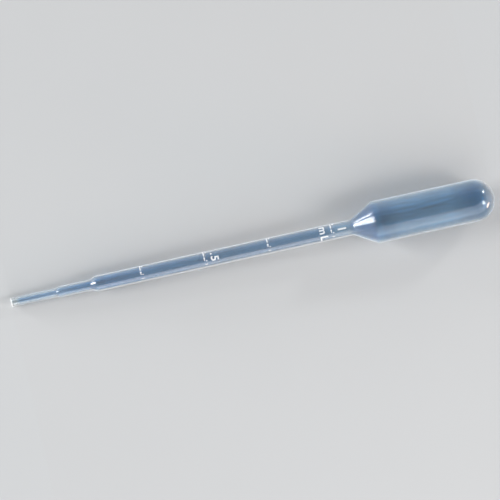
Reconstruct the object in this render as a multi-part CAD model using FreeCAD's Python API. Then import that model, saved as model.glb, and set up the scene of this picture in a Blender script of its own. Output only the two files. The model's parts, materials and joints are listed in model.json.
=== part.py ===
"""A disposable graduated transfer pipette, blow-moulded in one piece from soft polyethylene.

The whole moulding is turned about its axis as one hollow shell, with its true outer outline and
its own bore in each stretch. It is then divided at the lines where its form changes, so each zone
is a node: tip, reduced stem, graduated stem, shoulder, barrel and dome. The barrel has a window on
top and one underneath, which hold the two walls that thumb and finger press inwards. Four raised
arcs on the stem mark each quarter of a millilitre.

Frame, in millimetres: the origin is the centre of the tip's opening, +X runs along the axis to the
end of the dome, and +Z is the side that carries the scale, which faces up when the pipette lies
on a table.
"""

import FreeCAD
import Part

import math
import os

from FreeCAD import Vector

# Driving dimensions, in millimetres and degrees
OVERALL_LENGTH = 150.0
TIP_LENGTH = 14.1  # from the opening to the first step
REDUCED_LENGTH = 10.7  # from the first step to the second
STEM_END = 105.8  # from the opening to the neck, where the shoulder starts
TIP_DIAMETER = 2.6
REDUCED_DIAMETER = 3.25
STEM_DIAMETER = 4.75
BULB_DIAMETER = 12.8
STEP_ANGLE = 24.0  # of both steps, from the axis
SHOULDER_ANGLE = 30.0  # of the shoulder, from the axis

# Bores: the wall is thickest where the blown tube was stretched least. The corners between them are
# left sharp, because nothing fits there and the wall hides them.
TIP_BORE = 1.25
REDUCED_BORE = 2.3
STEM_BORE = 4.025
BULB_BORE = 11.9

# Radii of the bends in the outer surface
STEP_BEND = 0.5
NECK_BEND = 3.0
SHOULDER_BEND = 1.6

# Scale: each mark is a ridge, as a pointed cutter engraves it in the mould
DIVISION_VOLUME = 250.0  # cubic millimetres, a quarter of a millilitre
DIVISIONS = 4
MARK_HEIGHT = 0.15
MARK_WIDTH = 0.45
MARK_SWEEP = 150.0  # degrees round the stem, centred on +Z

# Pressed walls of the bulb
WALL_TRAVEL = 4.0  # of each wall, towards the axis
MEETING_GAP = 0.25  # from each wall's lowest edge to the axis at full travel
WALL_END_MARGIN = 3.0  # from each end of the barrel to the window
RUNNING_CLEARANCE = 0.05  # between a wall and its window, all round

# Worked out from the dimensions above
AXIS_START = Vector(0, 0, 0)
AXIS = Vector(1, 0, 0)
OUTER_DIAMETERS = (TIP_DIAMETER, REDUCED_DIAMETER, STEM_DIAMETER, BULB_DIAMETER)
BORES = (TIP_BORE, REDUCED_BORE, STEM_BORE, BULB_BORE)
OUTER_BENDS = (STEP_BEND, STEP_BEND, STEP_BEND, STEP_BEND, NECK_BEND, SHOULDER_BEND)
SHARP = 0.0
INNER_BENDS = (SHARP,) * len(OUTER_BENDS)
DOME_AT = OVERALL_LENGTH - BULB_DIAMETER / 2
SPAN = 2 * OVERALL_LENGTH  # longer than the part, for the blocks that divide it


def taper_run(from_diameter, to_diameter, angle):
    """Length along the axis of a cone that joins two diameters at an angle from the axis."""
    return (to_diameter - from_diameter) / 2 / math.tan(math.radians(angle))


def bend_reach(bend, angle):
    """Length along the axis that a bend takes up on each side of its corner."""
    return bend * math.tan(math.radians(angle) / 2)


REDUCED_START = TIP_LENGTH + taper_run(TIP_DIAMETER, REDUCED_DIAMETER, STEP_ANGLE)
REDUCED_END = TIP_LENGTH + REDUCED_LENGTH
STEM_START = REDUCED_END + taper_run(REDUCED_DIAMETER, STEM_DIAMETER, STEP_ANGLE)
BULB_START = STEM_END + taper_run(STEM_DIAMETER, BULB_DIAMETER, SHOULDER_ANGLE)

# Where the moulding is divided: at the ends of its straight stretches, so no bend is cut in two
TIP_BORDER = TIP_LENGTH - bend_reach(STEP_BEND, STEP_ANGLE)
REDUCED_BORDER = REDUCED_END - bend_reach(STEP_BEND, STEP_ANGLE)
STEM_BORDER = STEM_END - bend_reach(NECK_BEND, SHOULDER_ANGLE)
BULB_BORDER = BULB_START + bend_reach(SHOULDER_BEND, SHOULDER_ANGLE)


def rounded_run(points, bends):
    """Edges from the first point to the last, with each corner sharp or a tangent arc of its bend."""
    edges = []
    here = points[0]
    for before, corner, after, bend in zip(points, points[1:], points[2:], bends):
        to_before = (before - corner).normalize()
        to_after = (after - corner).normalize()
        half_angle = to_before.getAngle(to_after) / 2
        setback = bend / math.tan(half_angle)
        to_centre = (to_before + to_after).normalize()
        arc_start = corner + to_before * setback
        arc_middle = corner + to_centre * (bend / math.sin(half_angle) - bend)
        arc_end = corner + to_after * setback
        edges.append(Part.LineSegment(here, arc_start).toShape())
        if bend > SHARP:
            edges.append(Part.Arc(arc_start, arc_middle, arc_end).toShape())
        here = arc_end
    edges.append(Part.LineSegment(here, points[-1]).toShape())
    return edges


def turned_body(start, diameters, bends):
    """A solid of revolution with the pipette's outline, from start along the axis to its dome.

    diameters are those of the tip, reduced stem, stem and bulb, and bends are those of the corners
    between them, from the tip on.
    """
    tip, reduced, stem, bulb = (diameter / 2 for diameter in diameters)
    corners = [
        Vector(start, tip, 0),
        Vector(TIP_LENGTH, tip, 0),
        Vector(REDUCED_START, reduced, 0),
        Vector(REDUCED_END, reduced, 0),
        Vector(STEM_START, stem, 0),
        Vector(STEM_END, stem, 0),
        Vector(BULB_START, bulb, 0),
        Vector(DOME_AT, bulb, 0),
    ]
    edges = rounded_run(corners, bends)
    halfway = bulb * math.sqrt(0.5)
    dome_end = Vector(DOME_AT + bulb, 0, 0)
    edges.append(Part.Arc(corners[-1], Vector(DOME_AT + halfway, halfway, 0), dome_end).toShape())
    edges.append(Part.LineSegment(dome_end, Vector(start, 0, 0)).toShape())
    edges.append(Part.LineSegment(Vector(start, 0, 0), corners[0]).toShape())
    return Part.Face(Part.Wire(edges)).revolve(AXIS_START, AXIS, 360)


def outer_body():
    """The pipette as if it were solid right through."""
    return turned_body(0.0, OUTER_DIAMETERS, OUTER_BENDS)


def inner_space():
    """All that the pipette can hold, run on past the opening of its tip."""
    before_tip = -1.0
    return turned_body(before_tip, BORES, INNER_BENDS)


def block(x_range, y_range, z_range):
    """A box from its range along each axis."""
    corner = Vector(x_range[0], y_range[0], z_range[0])
    sizes = (high - low for low, high in (x_range, y_range, z_range))
    return Part.makeBox(*sizes, corner)


def zone(shape, start, end):
    """The stretch of a shape between two places on the axis."""
    across = (-SPAN / 2, SPAN / 2)
    return shape.common(block((start, end), across, across))


def press_window(clearance):
    """The block above the axis that a pressed wall fills, grown all round by a clearance.

    The wall is as wide as it can be without meeting the other at full travel.
    """
    half_width = math.sqrt((BULB_BORE / 2) ** 2 - (WALL_TRAVEL + MEETING_GAP) ** 2) + clearance
    start = BULB_START + WALL_END_MARGIN - clearance
    end = DOME_AT - WALL_END_MARGIN + clearance
    return block((start, end), (-half_width, half_width), (0, SPAN / 2))


def turned_over(shape):
    """The same shape on the other side of the axis."""
    below = shape.copy()
    below.rotate(AXIS_START, AXIS, 180)
    return below


def bulb_pieces(shell):
    """The barrel with its two windows, and the walls that are pressed in through them."""
    barrel = zone(shell, BULB_BORDER, DOME_AT)
    thumb_wall = barrel.common(press_window(0.0))
    window = press_window(RUNNING_CLEARANCE)
    return {
        "bulb_barrel": barrel.cut([window, turned_over(window)]),
        "bulb_thumb_wall": thumb_wall,
        "bulb_finger_wall": turned_over(thumb_wall),
    }


def mark_places():
    """Where each graduation lies on the axis, so that the pipette holds its volume up to there."""
    below_stem = zone(inner_space(), 0.0, STEM_START).Volume
    stem_area = math.pi * (STEM_BORE / 2) ** 2
    volumes = [division * DIVISION_VOLUME for division in range(1, DIVISIONS + 1)]
    return [STEM_START + (volume - below_stem) / stem_area for volume in volumes]


def graduation(place):
    """A low ridge across the stem, seated on its outer surface."""
    seat = STEM_DIAMETER / 2
    foot_before = Vector(place - MARK_WIDTH / 2, 0, seat)
    crest = Vector(place, 0, seat + MARK_HEIGHT)
    foot_after = Vector(place + MARK_WIDTH / 2, 0, seat)
    section = Part.Face(Part.makePolygon([foot_before, crest, foot_after, foot_before]))
    section.rotate(AXIS_START, AXIS, -MARK_SWEEP / 2)
    return section.revolve(AXIS_START, AXIS, MARK_SWEEP)


def pieces():
    """Every node of the pipette, by name."""
    shell = outer_body().cut(inner_space())
    found = {
        "tip": zone(shell, 0.0, TIP_BORDER),
        "reduced_stem": zone(shell, TIP_BORDER, REDUCED_BORDER),
        "graduated_stem": zone(shell, REDUCED_BORDER, STEM_BORDER),
        "shoulder": zone(shell, STEM_BORDER, BULB_BORDER),
        "bulb_dome": zone(shell, DOME_AT, OVERALL_LENGTH),
    }
    found.update(bulb_pieces(shell))
    for division, place in enumerate(mark_places(), start=1):
        microlitres = round(division * DIVISION_VOLUME)
        found[f"mark_{microlitres}_microlitres"] = graduation(place)
    return found


def main():
    """Writes each node as a STEP file of its own."""
    os.makedirs("parts", exist_ok=True)
    for name, shape in pieces().items():
        shape.exportStep(f"parts/{name}.step")
        box = shape.optimalBoundingBox()
        reach = f"x {box.XMin:.2f} to {box.XMax:.2f} mm"
        print(f"{name}: {len(shape.Solids)} solid, {shape.Volume:.1f} mm3, {reach}")


main()
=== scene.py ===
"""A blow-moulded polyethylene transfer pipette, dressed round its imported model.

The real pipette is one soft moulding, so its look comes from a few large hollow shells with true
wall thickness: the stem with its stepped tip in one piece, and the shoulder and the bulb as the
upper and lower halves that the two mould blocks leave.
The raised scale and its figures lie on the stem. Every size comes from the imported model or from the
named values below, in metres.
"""

import json
import logging
import math
import random
from dataclasses import dataclass, fields
from enum import Enum
from functools import cache, partial, reduce
from typing import Any

import bmesh
import bpy
from bpy.types import ID, Material, Mesh, Node, NodeSocket, NodeTree, Object
from mathutils import Matrix, Vector


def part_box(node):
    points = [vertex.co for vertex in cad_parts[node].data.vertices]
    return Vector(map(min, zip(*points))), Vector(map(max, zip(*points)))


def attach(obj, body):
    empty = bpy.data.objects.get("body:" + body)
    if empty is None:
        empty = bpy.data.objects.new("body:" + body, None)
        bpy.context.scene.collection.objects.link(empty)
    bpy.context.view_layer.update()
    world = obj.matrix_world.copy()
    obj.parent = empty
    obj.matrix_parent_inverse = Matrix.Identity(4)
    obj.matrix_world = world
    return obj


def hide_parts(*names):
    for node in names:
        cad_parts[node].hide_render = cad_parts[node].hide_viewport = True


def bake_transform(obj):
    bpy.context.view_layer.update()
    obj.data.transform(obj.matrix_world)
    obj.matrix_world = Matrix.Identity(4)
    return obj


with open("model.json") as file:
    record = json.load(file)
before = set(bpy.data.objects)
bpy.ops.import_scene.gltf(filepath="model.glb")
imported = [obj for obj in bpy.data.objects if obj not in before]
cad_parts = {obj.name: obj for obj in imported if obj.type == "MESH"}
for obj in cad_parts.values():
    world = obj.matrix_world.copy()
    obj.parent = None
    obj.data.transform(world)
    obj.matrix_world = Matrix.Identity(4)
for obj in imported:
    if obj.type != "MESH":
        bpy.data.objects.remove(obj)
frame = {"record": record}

LOG = logging.getLogger("pipette")
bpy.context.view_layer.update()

MM = 0.001

# The corners of the moulding's outline: their angles, and the radii of their bends
STEP_ANGLE = math.radians(24)  # of both steps, from the axis
SHOULDER_ANGLE = math.radians(30)  # of the shoulder, from the axis
STEP_BEND = 0.5 * MM
NECK_BEND = 3.0 * MM
SHOULDER_BEND = 1.6 * MM
INNER_STEP_BEND = 0.35 * MM
INNER_NECK_BEND = 3.2 * MM
INNER_SHOULDER_BEND = 1.4 * MM
CUT_EDGE = 0.06 * MM  # the small radius that the blade leaves round the tip's cut end
CUT_BAND = 0.3 * MM  # how far the plastic has turned white behind the cut

RUN_STEP = 1.2 * MM  # longest stretch between two rows of points along a straight run
SHORTEST_SPAN = 1e-12  # stands in for no length at all where a length divides
BEND_STEPS = 8
DOME_STEPS = 28
HALF_TURN_STEPS = 64
INNER_LIMIT = 0.25  # halfway between the outer share of an inner face, 0, and of an end face, 0.5
MERGE_DISTANCE = 0.0002 * MM
SHARP_ANGLE = math.radians(40)

POLYETHYLENE_IOR = 1.51
LINE_RANGE = (0.3, 0.7)  # the stretch of the noise that becomes the whole range of the die's lines

Colour = tuple[float, float, float]


class Body(Enum):
    """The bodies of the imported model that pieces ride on."""

    PIPETTE = "pipette"
    THUMB_WALL = "thumb_wall"
    FINGER_WALL = "finger_wall"


class Side(Enum):
    """The two halves that the mould leaves, above and below the axis."""

    UPPER = 1
    LOWER = -1

    @property
    def pressed_body(self) -> Body:
        """The wall that presses this half of the bulb in."""
        return Body.THUMB_WALL if self is Side.UPPER else Body.FINGER_WALL

    @property
    def word(self) -> str:
        """The side's name in the names of its pieces."""
        return self.name.lower()


# ---- Node trees --------------------------------------------


class Socket(Enum):
    """What an input or an output of a node group carries."""

    GEOMETRY = "NodeSocketGeometry"
    MATERIAL = "NodeSocketMaterial"
    NUMBER = "NodeSocketFloat"
    COUNT = "NodeSocketInt"
    SWITCH = "NodeSocketBool"

    @classmethod
    def of(cls, default: float | int | bool) -> "Socket":
        """The kind of socket that a default belongs to."""
        return {float: cls.NUMBER, int: cls.COUNT, bool: cls.SWITCH}[type(default)]


class Graph:
    """Adds and joins the nodes of one tree, so that a tree reads as a list of steps."""

    def __init__(self, tree: NodeTree) -> None:
        """Starts on a tree, which is emptied first."""
        self.tree = tree
        self.tree.nodes.clear()

    def add(self, kind: str, inputs: dict[Any, Any] | None = None, **settings: Any) -> Node:
        """Adds one node.

        Args:
            kind: The node's type name.
            inputs: Values or output sockets for its inputs, by name or by number.
            settings: Properties of the node itself, set before its inputs.

        Returns:
            The new node.
        """
        node = self.tree.nodes.new(kind)
        for key, value in settings.items():
            setattr(node, key, value)
        for key, value in (inputs or {}).items():
            if isinstance(value, NodeSocket):
                self.tree.links.new(value, node.inputs[key])
            else:
                node.inputs[key].default_value = value
        return node

    def first(self, kind: str, inputs: dict[Any, Any] | None = None, **settings: Any) -> NodeSocket:
        """Adds one node and gives its first output."""
        return self.add(kind, inputs, **settings).outputs[0]

    def maths(self, operation: str, *values: Any) -> NodeSocket:
        """Adds a Math node, such as MULTIPLY, on numbers or sockets, and gives its output."""
        return self.first("ShaderNodeMath", dict(enumerate(values)), operation=operation)

    def times(self, *factors: Any) -> NodeSocket:
        """Multiplies numbers or sockets, one after the other."""
        return reduce(partial(self.maths, "MULTIPLY"), factors)

    def vector_maths(self, operation: str, *values: Any) -> NodeSocket:
        """Adds a Vector Math node on vectors or sockets, and gives its vector."""
        return self.first("ShaderNodeVectorMath", dict(enumerate(values)), operation=operation)

    def ranged(
        self, value: NodeSocket, low: Any, high: Any, start: Any = 0.0, end: Any = 1.0, **settings: Any
    ) -> NodeSocket:
        """Spreads a value, and what lies between start and end of it comes to lie between low and high."""
        inputs = {"Value": value, "From Min": start, "From Max": end, "To Min": low, "To Max": high}
        return self.first("ShaderNodeMapRange", inputs, **settings)

    def parts(self, vector: NodeSocket) -> Any:
        """Gives a vector's X, Y and Z."""
        return self.add("ShaderNodeSeparateXYZ", {0: vector}).outputs

    def vector(self, x: Any = 0.0, y: Any = 0.0, z: Any = 0.0) -> NodeSocket:
        """Joins X, Y and Z in one vector."""
        return self.first("ShaderNodeCombineXYZ", {"X": x, "Y": y, "Z": z})

    def round_axis(self, radius: NodeSocket, angle: NodeSocket) -> tuple[NodeSocket, NodeSocket]:
        """Gives the radius times the angle's cosine, and times its sine."""
        cosine, sine = self.maths("COSINE", angle), self.maths("SINE", angle)
        return self.times(radius, cosine), self.times(radius, sine)

    def captured(self, geometry: NodeSocket, kind: str, value: NodeSocket) -> list[NodeSocket]:
        """Keeps a value on each point of a geometry, for the steps that move the points.

        Args:
            geometry: The geometry.
            kind: VECTOR or FLOAT.
            value: The value, as it is on the geometry's points now.

        Returns:
            The geometry and the kept value.
        """
        node = self.tree.nodes.new("GeometryNodeCaptureAttribute")
        node.capture_items.new(kind, "Value")
        self.tree.links.new(geometry, node.inputs[0])
        self.tree.links.new(value, node.inputs[1])
        return list(node.outputs[:2])

    def dressed(self, geometry: NodeSocket, finish: NodeSocket, where: Any = True) -> NodeSocket:
        """Gives a geometry, or only its faces in a selection, a material."""
        inputs = {"Geometry": geometry, "Selection": where, "Material": finish}
        return self.first("GeometryNodeSetMaterial", inputs)


def new_tree(name: str, kind: str, inputs: dict[str, Any], outputs: dict[str, Socket]) -> Graph:
    """Makes a node group with its named inputs and outputs.

    Args:
        name: The group's name.
        kind: GeometryNodeTree or ShaderNodeTree.
        inputs: What each input carries, or the default of one that carries a number.
        outputs: What each output carries.

    Returns:
        A graph on the empty group.
    """
    tree = bpy.data.node_groups.new(name, kind)
    for label, given in inputs.items():
        carried = given if isinstance(given, Socket) else Socket.of(given)
        socket = tree.interface.new_socket(label, in_out="INPUT", socket_type=carried.value)
        if carried is not given:
            socket.default_value = given
    for label, carried in outputs.items():
        tree.interface.new_socket(label, in_out="OUTPUT", socket_type=carried.value)
    return Graph(tree)


def new_material(name: str) -> tuple[Material, Graph]:
    """Makes a material.

    Args:
        name: The material's name.

    Returns:
        The material, and a graph on its empty tree.
    """
    made = bpy.data.materials.new(name)
    made.use_nodes = True
    return made, Graph(made.node_tree)


def new_object(name: str, data: ID) -> Object:
    """Puts an object into the scene, at the origin.

    Args:
        name: The object's name.
        data: Its mesh, type line, lamp or camera.

    Returns:
        The object.
    """
    made = bpy.data.objects.new(name, data)
    bpy.context.scene.collection.objects.link(made)
    return made


def plain_mesh(holder: Object) -> Mesh:
    """Gives an object's shape as a plain mesh, with its modifiers or its type line worked out."""
    depsgraph = bpy.context.evaluated_depsgraph_get()
    return bpy.data.meshes.new_from_object(holder.evaluated_get(depsgraph))


def grown(name: str, seed: Mesh, tree: NodeTree, inputs: dict[str, Any]) -> Object:
    """Runs a geometry tree on a mesh and keeps the result as a plain mesh object.

    Args:
        name: The name of the object and its mesh.
        seed: The mesh that the tree starts from.
        tree: The geometry node tree.
        inputs: Values for the tree's named inputs.

    Returns:
        The object with the finished mesh and no modifier.
    """
    holder = new_object(name, seed)
    modifier = holder.modifiers.new("grow", "NODES")
    modifier.node_group = tree
    for item in tree.interface.items_tree:
        if item.item_type == "SOCKET" and item.in_out == "INPUT" and item.name in inputs:
            modifier[item.identifier] = inputs[item.name]
    mesh = plain_mesh(holder)
    holder.modifiers.remove(modifier)
    holder.data = mesh
    mesh.name = name
    bpy.data.meshes.remove(seed)
    return holder


def tidied(piece: Object) -> Object:
    """Closes a mesh's seams and poles, turns its faces outwards and shades it by angle.

    Args:
        piece: The object whose mesh is tidied.

    Returns:
        The same object.
    """
    mesh = piece.data
    shape = bmesh.new()
    shape.from_mesh(mesh)
    bmesh.ops.remove_doubles(shape, verts=shape.verts[:], dist=MERGE_DISTANCE)
    bmesh.ops.dissolve_degenerate(shape, edges=shape.edges[:], dist=MERGE_DISTANCE)
    bmesh.ops.recalc_face_normals(shape, faces=shape.faces[:])
    shape.to_mesh(mesh)
    shape.free()
    mesh.shade_smooth()
    mesh.set_sharp_from_angle(angle=SHARP_ANGLE)
    return piece


# ---- Outlines ----------------------------------------------


@dataclass(frozen=True)
class Corner:
    """A corner of a turned outline: its place on the axis, its radius there and its bend."""

    place: float
    radius: float
    bend: float

    @property
    def point(self) -> Vector:
        """The corner in the plane of the outline."""
        return Vector((self.place, self.radius))


@dataclass(frozen=True)
class Outline:
    """The line that is turned about the axis to make one skin of the moulding, with its dome."""

    corners: tuple[Corner, ...]
    start: float
    dome_centre: float

    def bend(self, before: Vector, corner: Corner, after: Vector) -> list[Vector]:
        """Points of the tangent arc that rounds a corner.

        Args:
            before: The corner before it.
            corner: The corner that is rounded.
            after: The corner after it.

        Returns:
            The arc's points, in order along the outline.
        """
        to_before = (before - corner.point).normalized()
        to_after = (after - corner.point).normalized()
        half_angle = to_before.angle(to_after) / 2
        to_centre = (to_before + to_after).normalized()
        centre = corner.point + to_centre * (corner.bend / math.sin(half_angle))
        arm = corner.point + to_before * (corner.bend / math.tan(half_angle)) - centre
        turn = (math.pi - 2 * half_angle) * math.copysign(1.0, arm.cross(to_after))
        turned = (Matrix.Rotation(turn * step / BEND_STEPS, 2) for step in range(BEND_STEPS + 1))
        return [centre + rotation @ arm for rotation in turned]

    def points(self) -> list[Vector]:
        """Lays the whole outline.

        Returns:
            Its points, from its start to its pole on the axis.
        """
        first, last = self.corners[0], self.corners[-1]
        begin = Vector((self.start, first.radius))
        dome_start = Vector((self.dome_centre, last.radius))
        stops = [begin, *(corner.point for corner in self.corners), dome_start]
        found = [begin]
        for before, corner, after in zip(stops, self.corners, stops[2:]):
            found += self.bend(before, corner, after)
        for step in range(DOME_STEPS + 1):
            angle = math.pi / 2 * (1 - step / DOME_STEPS)
            rise = Vector((math.cos(angle), math.sin(angle))) * last.radius
            found.append(Vector((self.dome_centre, 0)) + rise)
        found[-1].y = 0.0
        return found

    def between(self, start: float, end: float) -> list[Vector]:
        """The stretch of the outline between two places, in short steps and with both ends on it.

        Args:
            start: The place where the stretch starts.
            end: The place where it ends, or any place past the dome for its pole.

        Returns:
            The points from start to end.
        """
        line = self.points()
        found: list[Vector] = []
        for low, high in zip(line, line[1:]):
            if high.x <= start or low.x >= end:
                continue
            span = max(high.x - low.x, SHORTEST_SPAN)
            begin = low.lerp(high, max(0.0, (start - low.x) / span))
            finish = low.lerp(high, min(1.0, (end - low.x) / span))
            count = max(1, math.ceil((finish - begin).length / RUN_STEP))
            found += [begin.lerp(finish, step / count) for step in range(count)]
        return [*found, finish]


@dataclass(frozen=True)
class FineRings:
    """The very fine raised rings that the mould's joint leaves where the bulb starts."""

    first: float = 112.85 * MM
    spacing: float = 0.7 * MM
    count: int = 3
    height: float = 0.05 * MM
    width: float = 0.32 * MM
    painted_light_reach: float = 0.2  # share of the spacing that a ring's painted pale line takes up on each side

    # Points from foot to foot: how far from the ring's middle, in widths, and how high, in heights
    profile: tuple[tuple[float, float], ...] = (
        (-0.5, 0.0),
        (-0.2, 0.8),
        (0.0, 1.0),
        (0.2, 0.8),
        (0.5, 0.0),
    )

    def on(self, line: list[Vector]) -> list[Vector]:
        """Adds the rings to an outline.

        Args:
            line: The points of the outline.

        Returns:
            The outline with each ring that lies wholly on it.
        """
        found = list(line)
        for number in range(self.count):
            place = self.first + self.spacing * number
            if not line[0].x < place - self.width / 2 < place + self.width / 2 < line[-1].x:
                continue
            found = [point for point in found if abs(point.x - place) > self.width / 2]
            for offset, lift in self.profile:
                here = place + offset * self.width
                runs = ((a, b) for a, b in zip(line, line[1:]) if a.x < b.x)
                low, high = next((a, b) for a, b in runs if a.x <= here <= b.x)
                seat = low.lerp(high, (here - low.x) / (high.x - low.x))
                found.append(seat + Vector((0, lift * self.height)))
        return sorted(found, key=lambda point: (point.x, -point.y))


@dataclass(frozen=True)
class Moulding:
    """The sizes of the whole moulding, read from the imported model."""

    tip_radius: float
    reduced_radius: float
    stem_radius: float
    bulb_radius: float
    tip_border: float
    reduced_border: float
    neck_border: float
    bulb_border: float
    dome_centre: float
    length: float
    tip_bore: float
    reduced_wall: float = 0.475 * MM
    stem_wall: float = 0.3625 * MM
    bulb_wall: float = 0.45 * MM

    @classmethod
    def from_frame(cls) -> "Moulding":
        """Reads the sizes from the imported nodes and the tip's bore mount.

        Returns:
            The sizes.
        """
        zones = ("tip", "reduced_stem", "graduated_stem", "shoulder", "bulb_barrel", "bulb_dome")
        tip, reduced, stem, shoulder, barrel, dome = (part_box(node)[1] for node in zones)
        mounts = {mount["name"]: mount for mount in frame["record"]["mounts"]}
        return cls(
            tip_radius=tip.y,
            reduced_radius=reduced.y,
            stem_radius=stem.y,
            bulb_radius=barrel.y,
            tip_border=tip.x,
            reduced_border=reduced.x,
            neck_border=stem.x,
            bulb_border=shoulder.x,
            dome_centre=barrel.x,
            length=dome.x,
            tip_bore=mounts["tip_orifice"]["dims"]["r_mm"] * MM,
        )

    @property
    def outer_radii(self) -> tuple[float, ...]:
        """The outer radii of the tip, the reduced stem, the stem and the bulb."""
        return (self.tip_radius, self.reduced_radius, self.stem_radius, self.bulb_radius)

    @property
    def inner_radii(self) -> tuple[float, ...]:
        """The radii of the space inside the same four zones."""
        walls = (self.reduced_wall, self.stem_wall, self.bulb_wall)
        return (self.tip_bore, *(radius - wall for radius, wall in zip(self.outer_radii[1:], walls)))

    def skin(self, radii: tuple[float, ...], bends: tuple[float, float, float]) -> Outline:
        """The outline of one skin. Both skins have their corners at the same places on the axis.

        Args:
            radii: Of the tip, reduced stem, stem and bulb.
            bends: Of the steps, the neck and the shoulder's end.

        Returns:
            The outline, with its six corners from the first step to the bulb.
        """
        tip, reduced, stem, bulb = radii
        step_bend, neck_bend, shoulder_bend = bends
        first = self.tip_border + STEP_BEND * math.tan(STEP_ANGLE / 2)
        second = self.reduced_border + STEP_BEND * math.tan(STEP_ANGLE / 2)
        neck = self.neck_border + NECK_BEND * math.tan(SHOULDER_ANGLE / 2)
        rises = [high - low for low, high in zip(self.outer_radii, self.outer_radii[1:])]
        corners = (
            Corner(first, tip, step_bend),
            Corner(first + rises[0] / math.tan(STEP_ANGLE), reduced, step_bend),
            Corner(second, reduced, step_bend),
            Corner(second + rises[1] / math.tan(STEP_ANGLE), stem, step_bend),
            Corner(neck, stem, neck_bend),
            Corner(neck + rises[2] / math.tan(SHOULDER_ANGLE), bulb, shoulder_bend),
        )
        return Outline(corners, 0.0, self.dome_centre)

    @property
    def outer(self) -> Outline:
        """The outer skin."""
        return self.skin(self.outer_radii, (STEP_BEND, NECK_BEND, SHOULDER_BEND))

    @property
    def inner(self) -> Outline:
        """The skin of the inner space."""
        return self.skin(self.inner_radii, (INNER_STEP_BEND, INNER_NECK_BEND, INNER_SHOULDER_BEND))


# ---- Turned shells -----------------------------------------


@dataclass(frozen=True)
class Skins:
    """The materials of a shell's outer and inner skin, and of the end where it was cut off."""

    outer: Material
    inner: Material
    cut: Material


@dataclass(frozen=True)
class Turning:
    """How far a section is turned about the axis, and the fine line where the mould blocks met."""

    start_angle: float
    sweep: float
    parting_height: float = 0.03 * MM

    @staticmethod
    @cache
    def tree() -> NodeTree:
        """The geometry tree that turns a closed section into a shell, built once for all shells.

        The section is drawn along a straight path as a prism and then bent round the axis: its x
        is the place on the axis, its y the radius, and the share of the path gives the angle. Its
        z is 1 on the outer line and 0 on the inner.

        Returns:
            The tree.
        """
        graph = new_tree(
            "turned_shell",
            "GeometryNodeTree",
            {
                "Section": Socket.GEOMETRY,
                "Start Angle": 0.0,
                "Sweep Angle": math.tau,
                "Steps": HALF_TURN_STEPS,
                "Close Ends": False,
                "Parting Height": 0.0,
                "Outer Finish": Socket.MATERIAL,
                "Inner Finish": Socket.MATERIAL,
                "Cut Finish": Socket.MATERIAL,
                "Cut Reach": 0.0,
            },
            {"Shell": Socket.GEOMETRY},
        )
        given = graph.add("NodeGroupInput").outputs
        position = graph.first("GeometryNodeInputPosition")
        marked, drawn = graph.captured(given["Section"], "VECTOR", position)
        section = graph.first("GeometryNodeMeshToCurve", {0: marked})
        path = graph.first("GeometryNodeCurvePrimitiveLine", {"Start": (0, 0, 0), "End": (0, 0, 1)})
        rows = graph.maths("ADD", given["Steps"], 1.0)
        stepped = graph.first("GeometryNodeResampleCurve", {"Curve": path, "Count": rows})
        share = graph.add("GeometryNodeSplineParameter").outputs["Factor"]
        measured, turn = graph.captured(stepped, "FLOAT", share)
        prism = graph.first(
            "GeometryNodeCurveToMesh",
            {"Curve": measured, "Profile Curve": section, "Fill Caps": given["Close Ends"]},
        )
        parts = graph.parts(drawn)
        outer_share = parts["Z"]
        angle = graph.maths("MULTIPLY_ADD", turn, given["Sweep Angle"], given["Start Angle"])
        off_parting = graph.maths("ABSOLUTE", graph.maths("SINE", angle))
        quarter_step = math.pi / HALF_TURN_STEPS / 4
        at_parting = graph.maths("LESS_THAN", off_parting, math.sin(quarter_step))
        raised = graph.times(at_parting, outer_share, given["Parting Height"])
        radius = graph.maths("ADD", parts["Y"], raised)
        place = graph.vector(parts["X"], *graph.round_axis(radius, angle))
        bent = graph.first("GeometryNodeSetPosition", {"Geometry": prism, "Position": place})
        inside = graph.maths("LESS_THAN", outer_share, INNER_LIMIT)
        at_cut = graph.maths("LESS_THAN", parts["X"], given["Cut Reach"])
        shell = graph.first("GeometryNodeRealizeInstances", {0: bent})
        for finish, where in (("Outer Finish", True), ("Inner Finish", inside), ("Cut Finish", at_cut)):
            shell = graph.dressed(shell, given[finish], where)
        graph.add("NodeGroupOutput", {0: shell})
        return graph.tree

    def shell(self, name: str, outer: list[Vector], inner: list[Vector], skins: Skins) -> Object:
        """Turns the wall between two lines about the axis.

        Args:
            name: The name of the piece.
            outer: The outer line, in order along the axis.
            inner: The inner line, in the same order.
            skins: The materials of the outer skin, the inner skin and the cut end.

        Returns:
            The closed shell.
        """
        there = [(point.x, point.y, 1.0) for point in outer]
        back = [(point.x, point.y, 0.0) for point in reversed(inner)]
        loop = there + back
        edges = [(index, (index + 1) % len(loop)) for index in range(len(loop))]
        seed = bpy.data.meshes.new("section")
        seed.from_pydata(loop, edges, [])
        values = {
            "Start Angle": self.start_angle,
            "Sweep Angle": self.sweep,
            "Steps": round(self.sweep / math.pi * HALF_TURN_STEPS),
            "Close Ends": not math.isclose(self.sweep, math.tau),
            "Parting Height": self.parting_height,
            "Outer Finish": skins.outer,
            "Inner Finish": skins.inner,
            "Cut Finish": skins.cut,
            "Cut Reach": CUT_BAND,
        }
        return tidied(grown(name, seed, self.tree(), values))


# ---- Finishes ----------------------------------------------


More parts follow.
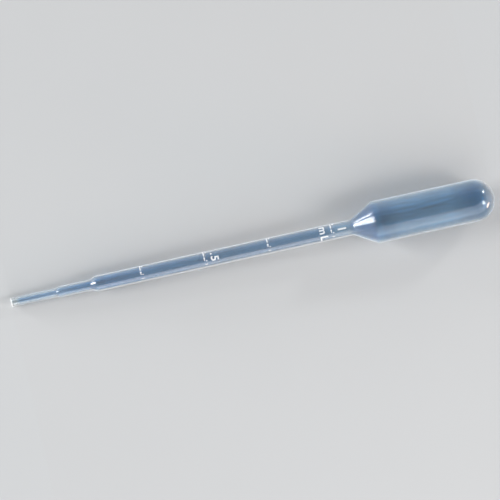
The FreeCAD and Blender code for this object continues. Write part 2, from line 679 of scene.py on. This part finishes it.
def moulding_pattern(sizes: Moulding, rings: FineRings) -> NodeTree:
    """A shader group: the traces that drawing the hot tube and blowing it up leave in its wall, and
    painted light at the fine rings.

    The lines run along the moulding at constant angles round its axis, as the die drew them.

    Args:
        sizes: The sizes of the moulding.
        rings: The rings at the start of the bulb.

    Returns:
        The group, which puts out three masks, for lines, clouds and the rings' painted light, and
        the share of the length. All four run from 0 to 1.
    """
    graph = new_tree(
        "moulding_pattern",
        "ShaderNodeTree",
        {
            "Fineness": 36.0,
            "Stretch": 3.0,
            "Cloud Scale": 140.0,
            "Length": sizes.length,
            "Ring Start": rings.first,
            "Ring Spacing": rings.spacing,
            "Ring Count": float(rings.count),
            "Ring Reach": rings.painted_light_reach,
        },
        {label: Socket.NUMBER for label in ("Lines", "Clouds", "Share", "Rings")},
    )
    given = graph.add("NodeGroupInput").outputs
    place = graph.add("ShaderNodeTexCoord").outputs["Object"]
    parts = graph.parts(place)
    side = graph.vector_maths("NORMALIZE", graph.vector(y=parts["Y"], z=parts["Z"]))
    along = graph.vector(x=graph.times(parts["X"], given["Stretch"]))
    drawn = graph.vector_maths("ADD", side, along)
    lines = graph.first("ShaderNodeTexNoise", {"Vector": drawn, "Scale": given["Fineness"], "Detail": 3.0})
    cloudy = {"Vector": place, "Scale": given["Cloud Scale"], "Detail": 4.0}
    # The rings' mask: pale lines of painted light, standing in for light that the fine rings catch
    from_first = graph.maths("SUBTRACT", parts["X"], given["Ring Start"])
    number = graph.maths("DIVIDE", from_first, given["Ring Spacing"])
    nearest = graph.maths("ROUND", number)
    off_ring = graph.maths("ABSOLUTE", graph.maths("SUBTRACT", number, nearest))
    last = graph.maths("SUBTRACT", given["Ring Count"], 1.0)
    before = graph.maths("LESS_THAN", nearest, 0.0)
    past = graph.maths("GREATER_THAN", nearest, last)
    away = graph.maths("ADD", off_ring, graph.maths("ADD", before, past))
    outputs = {
        "Lines": graph.ranged(lines, 0.0, 1.0, *LINE_RANGE),
        "Clouds": graph.first("ShaderNodeTexNoise", cloudy),
        "Share": graph.maths("DIVIDE", parts["X"], given["Length"]),
        "Rings": graph.ranged(away, 1.0, 0.0, end=given["Ring Reach"]),
    }
    graph.add("NodeGroupOutput", outputs)
    return graph.tree


@dataclass(frozen=True)
class Tints:
    """The colour of the wall in each zone, partly from unequal stretching and partly painted light and
    shade.
    """

    mouth: Colour
    tip: Colour
    # painted light: paler and bluer, against the shade of the floor close under the stem
    stem_start_painted_light: Colour
    stem: Colour
    neck: Colour
    # painted shade: darker than the bulb
    shoulder: Colour
    # painted shade: darker where the bulb starts
    bulb_start: Colour
    bulb: Colour
    # painted shade: darker where the dome starts
    dome_start: Colour
    # painted light: paler, for the bright rim at the dome's end
    dome_end_painted_light: Colour

    @classmethod
    def even(cls, colour: Colour) -> "Tints":
        """The same colour all along."""
        return cls(*[colour] * len(fields(cls)))

    def stops(self, sizes: Moulding) -> list[tuple[float, Colour]]:
        """The colours along the axis.

        A colour holds between its two places and runs smoothly into the next. Each place is a border
        of two zones, or a part of the tip's length or of reach, a quarter of the barrel's, off one.

        Args:
            sizes: The sizes of the moulding.

        Returns:
            For each colour its place as a share of the length, in order.
        """
        reach = (sizes.dome_centre - sizes.bulb_border) / 4
        places = (
            (0.0, self.mouth),
            (sizes.tip_border / 9, self.mouth),
            (sizes.tip_border / 5, self.tip),
            (sizes.tip_border, self.tip),
            (sizes.reduced_border, self.stem_start_painted_light),
            (sizes.reduced_border + reach, self.stem_start_painted_light),
            (sizes.reduced_border + 5 * reach, self.stem),
            (sizes.neck_border - reach, self.stem),
            (sizes.neck_border - reach / 3, self.neck),
            (sizes.neck_border, self.neck),
            (sizes.neck_border + reach / 2, self.shoulder),
            (sizes.bulb_border - reach / 10, self.shoulder),
            (sizes.bulb_border + reach / 10, self.bulb_start),
            (sizes.bulb_border + reach, self.bulb),
            (sizes.dome_centre - reach, self.bulb),
            (sizes.dome_centre, self.dome_start),
            (sizes.dome_centre + reach / 3, self.dome_start),
            (sizes.length - reach / 8, self.dome_end_painted_light),
        )
        return [(place / sizes.length, colour) for place, colour in places]


@dataclass(frozen=True)
class Polyethylene:
    """Milky natural polyethylene: a tinted, softly rough clear body with haze in it."""

    name: str
    tints: Tints
    haze: float  # share of the light that the body scatters instead of letting it through
    roughness: float
    line_contrast: float
    # how much the rings' mask lightens the colour, as painted light
    ring_painted_light: float = 0.6
    line_relief: float = 0.002 * MM
    roughness_spread: float = 0.2  # share by which the clouds raise and lower the roughness
    edge_glow: float = 0.0  # the pale bloom of the milky body where it is seen at a slant
    glow_roughness: float = 0.5
    glow_tint: Colour = (0.86, 0.94, 1.0)
    gloss: float = 0.0  # share of the smooth skin that the mould leaves
    gloss_roughness: float = 0.08

    def colour(self, graph: Graph, traces: Any, sizes: Moulding) -> NodeSocket:
        """Adds the nodes of the body's colour.

        Args:
            graph: The material's graph.
            traces: The outputs of the moulding pattern.
            sizes: The sizes of the moulding.

        Returns:
            The colour's output socket.
        """
        wall = graph.add("ShaderNodeValToRGB", {"Fac": traces["Share"]})
        stops = self.tints.stops(sizes)
        elements = wall.color_ramp.elements
        while len(elements) < len(stops):
            elements.new(1.0)
        for element, (place, colour) in zip(elements, stops):
            element.position = place
            element.color = (*colour, 1.0)
        shade = graph.ranged(traces["Lines"], 1.0 - self.line_contrast, 1.0 + self.line_contrast)
        # The rings' mask lightens the colour: painted light along the fine rings
        shade = graph.maths("MULTIPLY_ADD", traces["Rings"], self.ring_painted_light, shade)
        return graph.vector_maths("MULTIPLY", wall.outputs["Color"], shade)

    def material(self, pattern: NodeTree, sizes: Moulding) -> Material:
        """Builds the material.

        Args:
            pattern: The group of the moulding pattern.
            sizes: The sizes of the moulding.

        Returns:
            The finished material.
        """
        made, graph = new_material(self.name)
        traces = graph.add("ShaderNodeGroup", node_tree=pattern).outputs
        smoothest = self.roughness * (1.0 - self.roughness_spread)
        roughest = self.roughness * (1.0 + self.roughness_spread)
        relief = {"Strength": 1.0, "Distance": self.line_relief, "Height": traces["Lines"]}
        surface = graph.first(
            "ShaderNodeBsdfPrincipled",
            {
                "Base Color": self.colour(graph, traces, sizes),
                "Roughness": graph.ranged(traces["Clouds"], smoothest, roughest),
                "IOR": POLYETHYLENE_IOR,
                "Transmission Weight": 1.0 - self.haze,
                "Sheen Weight": self.edge_glow,
                "Sheen Roughness": self.glow_roughness,
                "Sheen Tint": (*self.glow_tint, 1.0),
                "Coat Weight": self.gloss,
                "Coat Roughness": self.gloss_roughness,
                "Normal": graph.first("ShaderNodeBump", relief),
            },
        )
        graph.add("ShaderNodeOutputMaterial", {"Surface": surface})
        return made


# In both tints the stem's start and the dome's end are painted light, and the shoulder and the starts of
# the bulb and the dome painted shade.
OUTER_TINTS = Tints(
    mouth=(0.96, 0.99, 1.0),
    tip=(0.76, 0.89, 1.0),
    stem_start_painted_light=(0.9, 0.97, 1.0),
    stem=(0.93, 0.96, 1.0),
    neck=(0.95, 0.97, 1.0),
    shoulder=(0.52, 0.74, 0.92),
    bulb_start=(0.4, 0.68, 0.86),
    bulb=(0.64, 0.81, 0.91),
    dome_start=(0.34, 0.58, 0.75),
    dome_end_painted_light=(0.8, 0.84, 0.88),
)
INNER_TINTS = Tints(
    mouth=(0.8, 0.92, 1.0),
    tip=(0.38, 0.58, 0.84),
    stem_start_painted_light=(0.024, 0.3, 0.68),
    stem=(0.028, 0.23, 0.47),
    neck=(0.26, 0.52, 0.76),
    shoulder=(0.004, 0.16, 0.48),
    bulb_start=(0.0, 0.2, 0.5),
    bulb=(0.03, 0.36, 0.68),
    dome_start=(0.0, 0.16, 0.4),
    dome_end_painted_light=(0.3, 0.45, 0.62),
)

BLOWN_OUTER = Polyethylene(
    "blown_outer_skin", OUTER_TINTS, haze=0.1, roughness=0.17, line_contrast=0.1, edge_glow=0.8, gloss=0.4
)
BLOWN_INNER = Polyethylene("blown_inner_skin", INNER_TINTS, haze=0.08, roughness=0.22, line_contrast=0.4)
DRAWN_OUTER = Polyethylene(
    "drawn_outer_skin", OUTER_TINTS, haze=0.08, roughness=0.17, line_contrast=0.1, edge_glow=1.0, gloss=0.7
)
DRAWN_INNER = Polyethylene("drawn_inner_skin", INNER_TINTS, haze=0.06, roughness=0.22, line_contrast=0.5)
CUT_END = Polyethylene(
    "cut_end", Tints.even((0.95, 0.96, 0.97)), haze=0.7, roughness=0.45, line_contrast=0.03
)
# The whitish finish of the crests and the figures: painted glints, where the real clear ridges catch the
# lamps.
SCALE_PAINTED_GLINT = Polyethylene(
    "scale_painted_glint",
    Tints.even((0.93, 0.96, 1.0)),
    haze=0.75,
    roughness=0.1,
    line_contrast=0.03,
    line_relief=0.0,
    edge_glow=0.5,
    gloss=1.0,
)


@dataclass(frozen=True)
class Finishes:
    """The materials of the whole pipette: the drawn stem's, the blown bulb's and the scale's."""

    drawn: Skins
    blown: Skins
    scale: Material

    @classmethod
    def mixed(cls, sizes: Moulding, rings: FineRings) -> "Finishes":
        """Builds every material.

        Args:
            sizes: The sizes of the moulding.
            rings: The rings at the start of the bulb.

        Returns:
            The materials.
        """
        pattern = moulding_pattern(sizes, rings)
        cut = CUT_END.material(pattern, sizes)
        blown = Skins(BLOWN_OUTER.material(pattern, sizes), BLOWN_INNER.material(pattern, sizes), cut)
        drawn = Skins(DRAWN_OUTER.material(pattern, sizes), DRAWN_INNER.material(pattern, sizes), cut)
        return cls(drawn, blown, SCALE_PAINTED_GLINT.material(pattern, sizes))


# ---- Sub-assemblies ----------------------------------------


@dataclass
class StemAssembly:
    """The stepped tip and the stem in one piece, from the cut end to the neck."""

    sizes: Moulding
    skins: Skins

    def build(self) -> list[Object]:
        """Builds the stem's shell, which stands for the three packed zones it runs through.

        Returns:
            The shell.
        """
        end = self.sizes.neck_border
        outer = self.sizes.outer.between(0.0, end)
        inner = self.sizes.inner.between(0.0, end)
        edge = [Vector((0.0, outer[0].y - CUT_EDGE)), Vector((CUT_EDGE, outer[0].y))]
        outer[0:1] = [*edge, Vector((CUT_BAND, outer[0].y))]
        inner[1:1] = [Vector((CUT_BAND, inner[0].y))]
        shell = Turning(0.0, math.tau).shell("stem_moulding", outer, inner, self.skins)
        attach(shell, Body.PIPETTE.value)
        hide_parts("tip", "reduced_stem", "graduated_stem")
        return [shell]


@dataclass
class BulbAssembly:
    """The shoulder and the bulb, each as the upper and the lower half of the moulding.

    Both halves are turned in place and keep their shape; the pressed walls' packed parts are only hidden.
    """

    sizes: Moulding
    skins: Skins
    rings: FineRings
    fade_rise: float = 5.0 * MM  # where the shoulder's fade ends, above or below the axis

    def half(self, side: Side, zone: str, start: float, end: float) -> Object:
        """Builds one half shell.

        Args:
            side: Above or below the axis.
            zone: The zone's word in the piece's name.
            start: Where the zone starts on the axis.
            end: Where it ends, or any place past the dome.

        Returns:
            The closed half shell.
        """
        outer = self.rings.on(self.sizes.outer.between(start, end))
        inner = self.sizes.inner.between(start, end)
        turning = Turning(0.0 if side is Side.UPPER else math.pi, math.pi)
        return turning.shell(f"{zone}_{side.word}", outer, inner, self.skins)

    def build(self) -> list[Object]:
        """Builds the four half shells and hides the packed parts that they stand for.

        Returns:
            The half shells.
        """
        sizes = self.sizes
        made: list[Object] = []
        past_end = 2 * sizes.length
        for side in Side:
            shoulder = self.half(side, "shoulder", sizes.neck_border, sizes.bulb_border)
            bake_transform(shoulder)
            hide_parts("shoulder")
            bulb = self.half(side, "bulb", sizes.bulb_border, past_end)
            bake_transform(bulb)
            wall = f"bulb_{side.pressed_body.value}"
            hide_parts("bulb_barrel", "bulb_dome", wall)
            for piece in (shoulder, bulb):
                made.append(piece)
        return made


@dataclass(frozen=True)
class Figure:
    """A raised number or unit of the scale. It is read from the side, with the bulb's end up."""

    name: str
    text: str
    place: float  # of its middle on the axis
    turn: float  # of its middle round the stem, from +Z towards +Y
    height: float


@dataclass(frozen=True)
class Ridge:
    """A raised ridge that runs part of the way round the stem. Its angles run from +Z towards +Y.

    It starts at turn + spread * (spread - 1), in radians, where it is cut off, and is rounded off
    at turn + spread. The greater its turn, the further its section stands out.
    """

    place: float  # of its middle on the axis, to 0.04 mm
    turn: float
    spread: float
    width: float


class Row(Enum):
    """Where a crest lies across the band of its mark."""

    NEAR = "near"
    MIDDLE = "middle"
    FAR = "far"


@dataclass(frozen=True)
class Crest:
    """A painted glint of a mark: a whitish crest, whose turn and spread are shares of half its sweep."""

    row: Row
    turn: float
    spread: float
    width: float


@dataclass
class ScaleAssembly:
    """The raised marks of the scale and its figures.

    Each mark is a low band on the side towards +Y, whose near edge lies at the volume that it
    states, to 0.04 mm. Its crests, raised in a whitish finish, are painted glints where light catches
    the real mark: along that edge, and as dots, which are all that stands out on the other side.
    """

    sizes: Moulding
    finish: Material
    body_finish: Material
    volumes: tuple[int, ...] = (250, 500, 750, 1000)  # in microlitres
    mark_sweep: float = math.radians(150)
    band_width: float = 0.76 * MM
    band_height: float = 0.06 * MM
    crest_height: float = 0.14 * MM
    crest_inset: float = 0.1  # of the near and the far row from the band's edges, in widths
    # The crests below carry the whitish finish: painted glints where light catches the real marks
    edge_glint_crests: tuple[Crest, ...] = (
        Crest(Row.NEAR, 0.525, 0.475, 0.38 * MM),
        Crest(Row.NEAR, -0.02, 0.1, 0.26 * MM),
    )
    glint_spots: tuple[Crest, ...] = (
        Crest(Row.NEAR, 0.15, 0.07, 0.62 * MM),
        Crest(Row.FAR, 0.75, 0.07, 0.5 * MM),
        Crest(Row.FAR, -0.1, 0.045, 0.5 * MM),
        Crest(Row.MIDDLE, -0.5, 0.05, 1.0 * MM),
    )
    spot_jitter: float = math.radians(2.0)
    seed: int = 7
    sink: float = 0.03 * MM  # how deep a seat lies in the wall
    figure_relief: float = 0.13 * MM
    figure_edge: float = 0.05 * MM
    figure_slices: float = 0.12 * MM  # widest strip of a figure that stays flat round the stem
    letter_share: float = 0.7  # of the type size that a capital takes up
    letter_spacing: float = 1.25
    stroke_growth: float = 0.02 * MM
    figures: tuple[Figure, ...] = (
        Figure("figure_half_millilitre", ".5", 63.1 * MM, math.radians(10), 2.3 * MM),
        Figure("figure_unit", "mL", 96.8 * MM, 0.0, 2.3 * MM),
        Figure("figure_one_millilitre", "1", 102.5 * MM, math.radians(6), 2.5 * MM),
    )

    @staticmethod
    @cache
    def ridge_tree() -> NodeTree:
        """The geometry tree that lays a ridge round the stem at each given point, built once.

        A point's x is the ridge's place on the axis, its y the turn and its z the spread. Each
        ridge starts as a straight rod, which stands at its point and reaches 1 from it to each
        side. The rod is flattened into a crown above a y of 0 and a seat below it, rounded off
        towards a z of 1 and bent. What lies past a z of 1 shrinks to a line. Its x starts from the
        place and not from 0, so the ridge lies place * width / 2 further along.

        Returns:
            The tree.
        """
        graph = new_tree(
            "raised_ridges",
            "GeometryNodeTree",
            {
                "Points": Socket.GEOMETRY,
                "Seat Radius": 0.0,
                "Height": 0.0,
                "Sink": 0.0,
                "Finish": Socket.MATERIAL,
            },
            {"Ridges": Socket.GEOMETRY},
        )
        given = graph.add("NodeGroupInput").outputs
        position = graph.first("GeometryNodeInputPosition")
        named = {"Name": "width"}
        own_width = graph.first("GeometryNodeInputNamedAttribute", named, data_type="FLOAT")
        points, ridge = graph.captured(given["Points"], "VECTOR", position)
        points, width = graph.captured(points, "FLOAT", own_width)
        points = graph.first("GeometryNodeRemoveAttribute", {"Geometry": points, **named})
        shape = {"Vertices": 16, "Side Segments": 48, "Radius": 1.0, "Depth": 2.0}
        rod = graph.first("GeometryNodeMeshCylinder", shape)
        rods = graph.first("GeometryNodeInstanceOnPoints", {"Points": points, "Instance": rod})
        rods = graph.first("GeometryNodeRealizeInstances", {0: rods})
        middle = graph.parts(ridge)
        parts = graph.parts(position)
        half_run = graph.times(middle["Z"], given["Seat Radius"])
        rounded = graph.maths("MINIMUM", graph.times(width, 0.5), half_run)
        share_left = graph.maths("SUBTRACT", 1.0, graph.maths("ABSOLUTE", parts["Z"]))
        past = graph.ranged(graph.times(share_left, half_run), 1.0, 0.0, end=rounded)
        ends = graph.maths("SQRT", graph.maths("SUBTRACT", 1.0, graph.times(past, past)))
        crown = graph.times(graph.maths("MAXIMUM", parts["Y"], 0.0), given["Height"])
        seat = graph.times(graph.maths("MINIMUM", parts["Y"], 0.0), given["Sink"])
        lift = graph.times(graph.maths("ADD", crown, seat), ends)
        radius = graph.maths("ADD", given["Seat Radius"], lift)
        angle = graph.maths("MULTIPLY_ADD", parts["Z"], middle["Z"], middle["Y"])
        upwards, sideways = graph.round_axis(radius, angle)
        across = graph.times(parts["X"], width, graph.times(ends, 0.5))
        place = graph.vector(graph.maths("ADD", middle["X"], across), sideways, upwards)
        bent = graph.first("GeometryNodeSetPosition", {"Geometry": rods, "Position": place})
        whole = graph.first("GeometryNodeRealizeInstances", {0: bent})
        graph.add("NodeGroupOutput", {0: graph.dressed(whole, given["Finish"])})
        return graph.tree

    def laid(self, name: str, ridges: list[Ridge], height: float, finish: Material) -> Object:
        """Lays ridges round the stem.

        Args:
            name: The piece's name.
            ridges: The ridges.
            height: How far a ridge with a turn of 0 stands out.
            finish: Their material.

        Returns:
            The ridges in one piece.
        """
        seed = bpy.data.meshes.new("ridge_points")
        seed.from_pydata([(ridge.place, ridge.turn, ridge.spread) for ridge in ridges], [], [])
        widths = seed.attributes.new("width", "FLOAT", "POINT")
        widths.data.foreach_set("value", [ridge.width for ridge in ridges])
        values = {
            "Seat Radius": self.sizes.stem_radius,
            "Height": height,
            "Sink": self.sink,
            "Finish": finish,
        }
        made = tidied(grown(name, seed, self.ridge_tree(), values))
        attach(made, Body.PIPETTE.value)
        return made

    def crests(self, near: float, far: float, chance: random.Random) -> list[Ridge]:
        """The crests of one mark.

        Args:
            near: The place of its near row on the axis.
            far: The place of its far row.
            chance: Where the small differences between the marks come from.

        Returns:
            The crests.
        """
        half = self.mark_sweep / 2
        places = {Row.NEAR: near, Row.MIDDLE: (near + far) / 2, Row.FAR: far}
        turns = [half * crest.turn for crest in self.edge_glint_crests]
        for spot in self.glint_spots:
            turns.append(half * spot.turn + chance.uniform(-self.spot_jitter, self.spot_jitter))
        crests = (*self.edge_glint_crests, *self.glint_spots)
        return [
            Ridge(places[crest.row], turn, half * crest.spread, crest.width)
            for crest, turn in zip(crests, turns)
        ]

    def marks(self) -> list[Object]:
        """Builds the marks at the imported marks' places.

        Returns:
            All low bands as one piece, and all crests as another.
        """
        nodes = [f"mark_{volume}_microlitres" for volume in self.volumes]
        chance = random.Random(self.seed)
        half = self.mark_sweep / 2
        inset = self.crest_inset * self.band_width
        bands: list[Ridge] = []
        crests: list[Ridge] = []
        for node in nodes:
            near = sum(corner.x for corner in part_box(node)) / 2
            far = near + self.band_width
            bands.append(Ridge(near + self.band_width / 2, 0.0, half, self.band_width))
            crests += self.crests(near + inset, far - inset, chance)
        made = self.laid("graduation_bands", bands, self.band_height, self.body_finish)
        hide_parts(*nodes)
        return [made, self.laid("graduation_painted_glint_crests", crests, self.crest_height, self.finish)]

    def lettering(self, figure: Figure) -> Mesh:
        """Sets one figure flat, as a low solid with rounded edges.

        Args:
            figure: The figure.

        Returns:
            Its mesh about the origin, with its line of type along x and its tops towards y.
        """
        type_line = bpy.data.curves.new(figure.name, "FONT")
        type_line.body = figure.text
        type_line.size = figure.height / self.letter_share
        type_line.align_x = "CENTER"
        type_line.align_y = "CENTER"
        type_line.resolution_u = 5
        type_line.space_character = self.letter_spacing
        type_line.offset = self.stroke_growth
        type_line.extrude = (self.figure_relief + self.sink) / 2 - self.figure_edge
        type_line.bevel_depth = self.figure_edge
        type_line.bevel_resolution = 2
        holder = new_object(figure.name, type_line)
        flat = plain_mesh(holder)
        bpy.data.objects.remove(holder)
        bpy.data.curves.remove(type_line)
        return flat

    def wrapped(self, figure: Figure) -> Object:
        """Lays one figure round the stem.

        Args:
            figure: The figure.

        Returns:
            The raised figure.
        """
        flat = self.lettering(figure)
        shape = bmesh.new()
        shape.from_mesh(flat)
        bmesh.ops.remove_doubles(shape, verts=shape.verts[:], dist=MERGE_DISTANCE)
        reach = max(abs(vertex.co.x) for vertex in shape.verts)
        cuts = math.floor(reach / self.figure_slices)
        for number in range(-cuts, cuts + 1):
            everything = [*shape.verts, *shape.edges, *shape.faces]
            place = Vector((number * self.figure_slices, 0, 0))
            bmesh.ops.bisect_plane(shape, geom=everything, plane_co=place, plane_no=(1, 0, 0))
        bmesh.ops.triangulate(shape, faces=shape.faces[:])
        low = min(vertex.co.z for vertex in shape.verts)
        seat = self.sizes.stem_radius - self.sink
        for vertex in shape.verts:
            line, top, height = vertex.co
            angle = figure.turn - line / self.sizes.stem_radius
            radius = seat + height - low
            vertex.co = (figure.place + top, radius * math.sin(angle), radius * math.cos(angle))
        shape.to_mesh(flat)
        shape.free()
        flat.name = figure.name
        flat.materials.clear()
        flat.materials.append(self.finish)
        made = tidied(new_object(figure.name, flat))
        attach(made, Body.PIPETTE.value)
        return made

    def build(self) -> list[Object]:
        """Builds the marks and the figures.

        Returns:
            All pieces of the scale.
        """
        made = [*self.marks(), *(self.wrapped(figure) for figure in self.figures)]
        return made


# ---- Studio ------------------------------------------------


@dataclass(frozen=True)
class Softbox:
    """A soft rectangular lamp, placed by its direction from the middle of the object."""

    name: str
    azimuth: float  # degrees, from +X towards +Y
    elevation: float
    distance: float
    width: float
    height: float
    power: float
    colour: Colour = (1.0, 1.0, 1.0)

    def build(self, middle: Vector) -> None:
        """Puts the lamp up and turns it to the middle of the object.

        Args:
            middle: The middle of the object.
        """
        lamp = bpy.data.lights.new(self.name, "AREA")
        lamp.shape = "RECTANGLE"
        lamp.size = self.width
        lamp.size_y = self.height
        lamp.energy = self.power
        lamp.color = self.colour
        azimuth, elevation = math.radians(self.azimuth), math.radians(self.elevation)
        flat = math.cos(elevation)
        towards = Vector((math.cos(azimuth) * flat, math.sin(azimuth) * flat, math.sin(elevation)))
        holder = new_object(self.name, lamp)
        holder.location = middle + towards * self.distance
        holder.rotation_mode = "QUATERNION"
        holder.rotation_quaternion = towards.to_track_quat("Z", "Y")


@dataclass
class Studio:
    """The pale floor, the lamps and the camera."""

    sizes: Moulding
    floor_colour: Colour = (0.52, 0.53, 0.54)
    floor_grain: float = 0.01  # share by which the floor's colour varies
    floor_reach: float = 4.0
    world_colour: Colour = (0.97, 0.99, 1.0)
    zenith_light: float = 0.06
    horizon_light: float = 1.1
    side_bias: float = 0.3  # how much more light comes from -Y than from all round, and less from +Y
    tilt: float = math.radians(12.43)  # of the axis in the picture
    focal_length: float = 200.0  # in millimetres, like the sensor's width
    sensor_width: float = 36.0
    picture_width: float = 151.6 * MM
    aim_right: float = -0.849 * MM
    aim_up: float = -0.243 * MM
    clip_factor: float = 50.0  # the camera sees from a fiftieth of its distance to fifty times it
    lamps: tuple[Softbox, ...] = (
        Softbox("key_softbox", -66, 34, 0.5, 0.8, 0.44, 1.5),
        Softbox("tip_softbox", 163.5, 31, 1.2, 0.52, 0.42, 10.0),
        Softbox("side_strip", 141.5, 8.8, 1.2, 0.045, 0.24, 7.0),
        Softbox("dome_softbox", -24.7, 33.2, 1.2, 0.34, 0.37, 4.4),
        Softbox("far_softbox", 30.9, 18.9, 1.2, 0.12, 0.12, 2.9),
        Softbox("warm_softbox", -28.5, 4.0, 1.2, 0.42, 0.18, 5.4, (1.0, 0.64, 0.42)),
    )

    @property
    def middle(self) -> Vector:
        """The middle of the object."""
        return Vector((self.sizes.length / 2, 0, 0))

    def floor(self) -> None:
        """Lays the floor under the tip and the bulb, which both rest on it, and level beyond them."""
        sizes = self.sizes
        slope = (sizes.bulb_radius - sizes.tip_radius) / sizes.bulb_border
        under_tip = -sizes.tip_radius
        under_end = under_tip - slope * sizes.length
        reach = self.floor_reach
        line = [(-reach, under_tip), (0.0, under_tip), (sizes.length, under_end), (reach, under_end)]
        points = [(x, y, z) for x, z in line for y in (-reach, reach)]
        faces = [(low, low + 2, low + 3, low + 1) for low in range(0, 2 * len(line) - 2, 2)]
        mesh = bpy.data.meshes.new("floor")
        mesh.from_pydata(points, [], faces)
        made, graph = new_material("studio_floor")
        place = graph.add("ShaderNodeTexCoord").outputs["Object"]
        grain = graph.first("ShaderNodeTexNoise", {"Vector": place, "Scale": 30.0, "Detail": 3.0})
        shade = graph.ranged(grain, 1.0 - self.floor_grain, 1.0 + self.floor_grain)
        colour = graph.vector_maths("MULTIPLY", self.floor_colour, shade)
        matt = {"Base Color": colour, "Roughness": 0.9, "Specular IOR Level": 0.0}
        surface = graph.first("ShaderNodeBsdfPrincipled", matt)
        graph.add("ShaderNodeOutputMaterial", {"Surface": surface})
        mesh.materials.append(made)
        new_object("floor", mesh)

    def world(self) -> None:
        """Fills the room with pale light that is strongest from the sides, as between white walls."""
        room = bpy.data.worlds.new("studio_room")
        room.use_nodes = True
        graph = Graph(room.node_tree)
        parts = graph.parts(graph.add("ShaderNodeTexCoord").outputs["Generated"])
        lights = (self.horizon_light, self.zenith_light)
        level = graph.ranged(parts["Z"], *lights, interpolation_type="SMOOTHSTEP")
        lean = graph.maths("MULTIPLY_ADD", parts["Y"], -self.side_bias, 1.0)
        strength = graph.times(level, lean)
        colour = (*self.world_colour, 1.0)
        light = graph.first("ShaderNodeBackground", {"Color": colour, "Strength": strength})
        graph.add("ShaderNodeOutputWorld", {"Surface": light})
        bpy.context.scene.world = room

    def camera(self) -> None:
        """Looks straight down, with the axis rising to the right in the picture."""
        lens = bpy.data.cameras.new("camera")
        lens.lens = self.focal_length
        lens.sensor_width = self.sensor_width
        distance = self.picture_width * self.focal_length / self.sensor_width
        lens.clip_start = distance / self.clip_factor
        lens.clip_end = distance * self.clip_factor
        right = Vector((math.cos(self.tilt), -math.sin(self.tilt), 0))
        up = Vector((math.sin(self.tilt), math.cos(self.tilt), 0))
        back = Vector((0, 0, 1))
        place = self.middle + right * self.aim_right + up * self.aim_up + back * distance
        turned = Matrix((right, up, back)).transposed().to_4x4()
        holder = new_object("camera", lens)
        holder.matrix_world = Matrix.Translation(place) @ turned
        bpy.context.scene.camera = holder

    def build(self) -> None:
        """Builds floor, room, lamps and camera."""
        self.floor()
        self.world()
        for lamp in self.lamps:
            lamp.build(self.middle)
        self.camera()
        bpy.context.scene.view_settings.view_transform = "Standard"


def main() -> None:
    """Builds the dressed pipette and its studio, and reports each piece."""
    logging.basicConfig(level=logging.INFO, format="%(message)s")
    sizes = Moulding.from_frame()
    rings = FineRings()
    finishes = Finishes.mixed(sizes, rings)
    pieces = [
        *StemAssembly(sizes, finishes.drawn).build(),
        *BulbAssembly(sizes, finishes.blown, rings).build(),
        *ScaleAssembly(sizes, finishes.scale, finishes.drawn.outer).build(),
    ]
    for piece in pieces:
        LOG.info("%s: %d faces", piece.name, len(piece.data.polygons))
    Studio(sizes).build()


if __name__ == "__main__":
    main()
